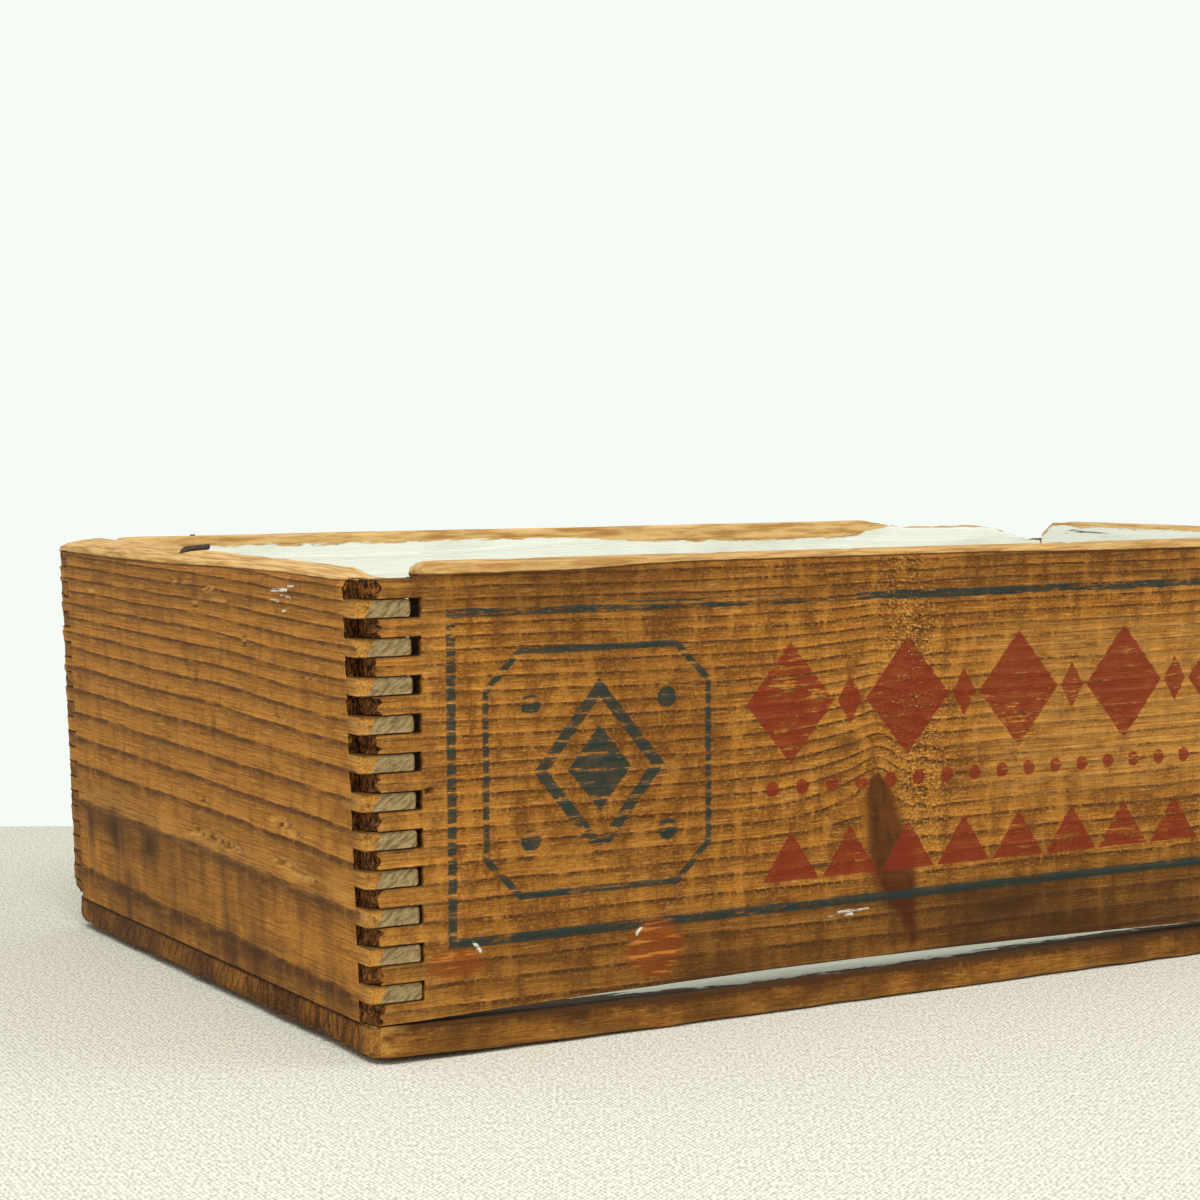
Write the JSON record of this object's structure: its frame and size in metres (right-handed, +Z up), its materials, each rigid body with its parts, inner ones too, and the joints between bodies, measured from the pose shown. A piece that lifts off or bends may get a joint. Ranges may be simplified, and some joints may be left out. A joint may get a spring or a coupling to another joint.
{
  "type": "packing crate",
  "caption": "Open-topped pine packing crate with comb-jointed corners, a nailed-on bottom board and a worn, printed front; it stands on its flat underside and holds goods.",
  "frame": {"origin": "middle of the crate's footprint, on the flat middle of the underside", "axes": "+X along the length, to the right as the printed front is faced; +Y from the front to the back; +Z up"},
  "size_m": [0.545, 0.3014, 0.1667],
  "materials": {
    "side_pine": "aged bare pine, printed on the front, white paint inside",
    "end_pine": "aged bare pine, white paint inside",
    "bottom_pine": "aged bare pine, white paint inside",
    "nail_iron": "dark rusted iron wire"
  },
  "bodies": {
    "root": {"front_board": "side_pine", "back_board": "side_pine", "left_end": "end_pine", "right_end": "end_pine", "bottom_board": "bottom_pine", "bottom_nails_front": "nail_iron", "bottom_nails_back": "nail_iron", "bottom_nails_left": "nail_iron", "bottom_nails_right": "nail_iron", "bent_lid_nail": "nail_iron", "lid_nail_stubs": "nail_iron"}
  },
  "joints": []
}
